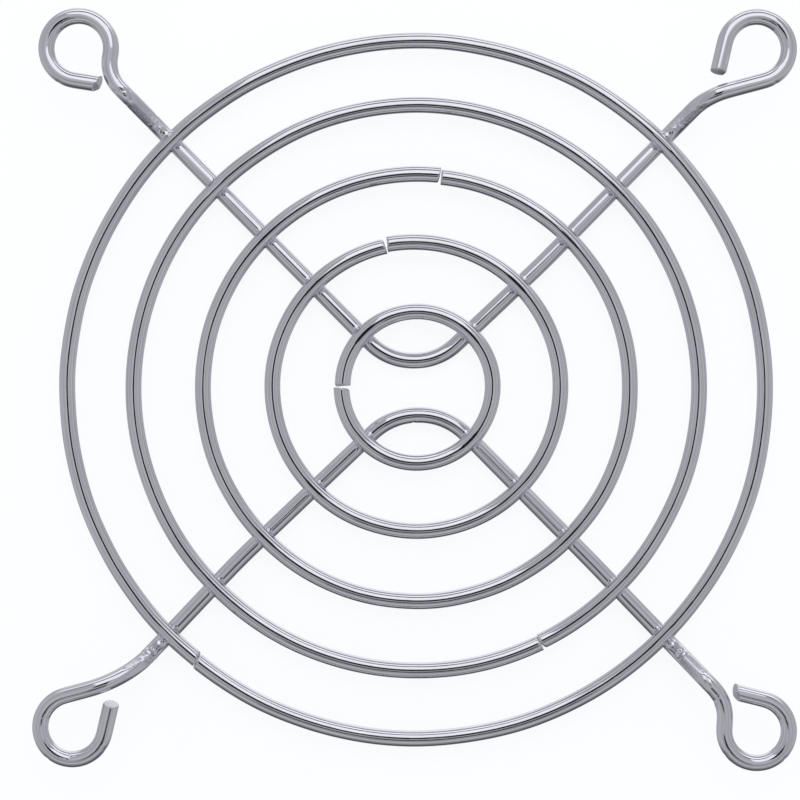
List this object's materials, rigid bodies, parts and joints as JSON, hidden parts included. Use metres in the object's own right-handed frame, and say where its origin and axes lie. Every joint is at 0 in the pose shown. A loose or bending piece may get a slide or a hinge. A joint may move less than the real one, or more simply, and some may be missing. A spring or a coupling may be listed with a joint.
{
  "type": "wire fan guard",
  "caption": "Round welded wire finger guard for an axial fan, with concentric rings on two bent ribs that end in curled screw eyelets.",
  "frame": {"origin": "middle of the guard at the level of the surface it lies on, under the ribs", "axes": "+Z out of the guard on the eyelet side, +X and +Y along the sides of the square of eyelets"},
  "size_m": [0.0804, 0.0802, 0.0059],
  "materials": {
    "plated_wire": "bright nickel-chrome plated drawn steel wire, polished"
  },
  "bodies": {
    "root": {"ring_1": "plated_wire", "ring_2": "plated_wire", "ring_3": "plated_wire", "ring_4": "plated_wire", "ring_5": "plated_wire", "rib_upper": "plated_wire", "rib_lower": "plated_wire"}
  },
  "joints": []
}
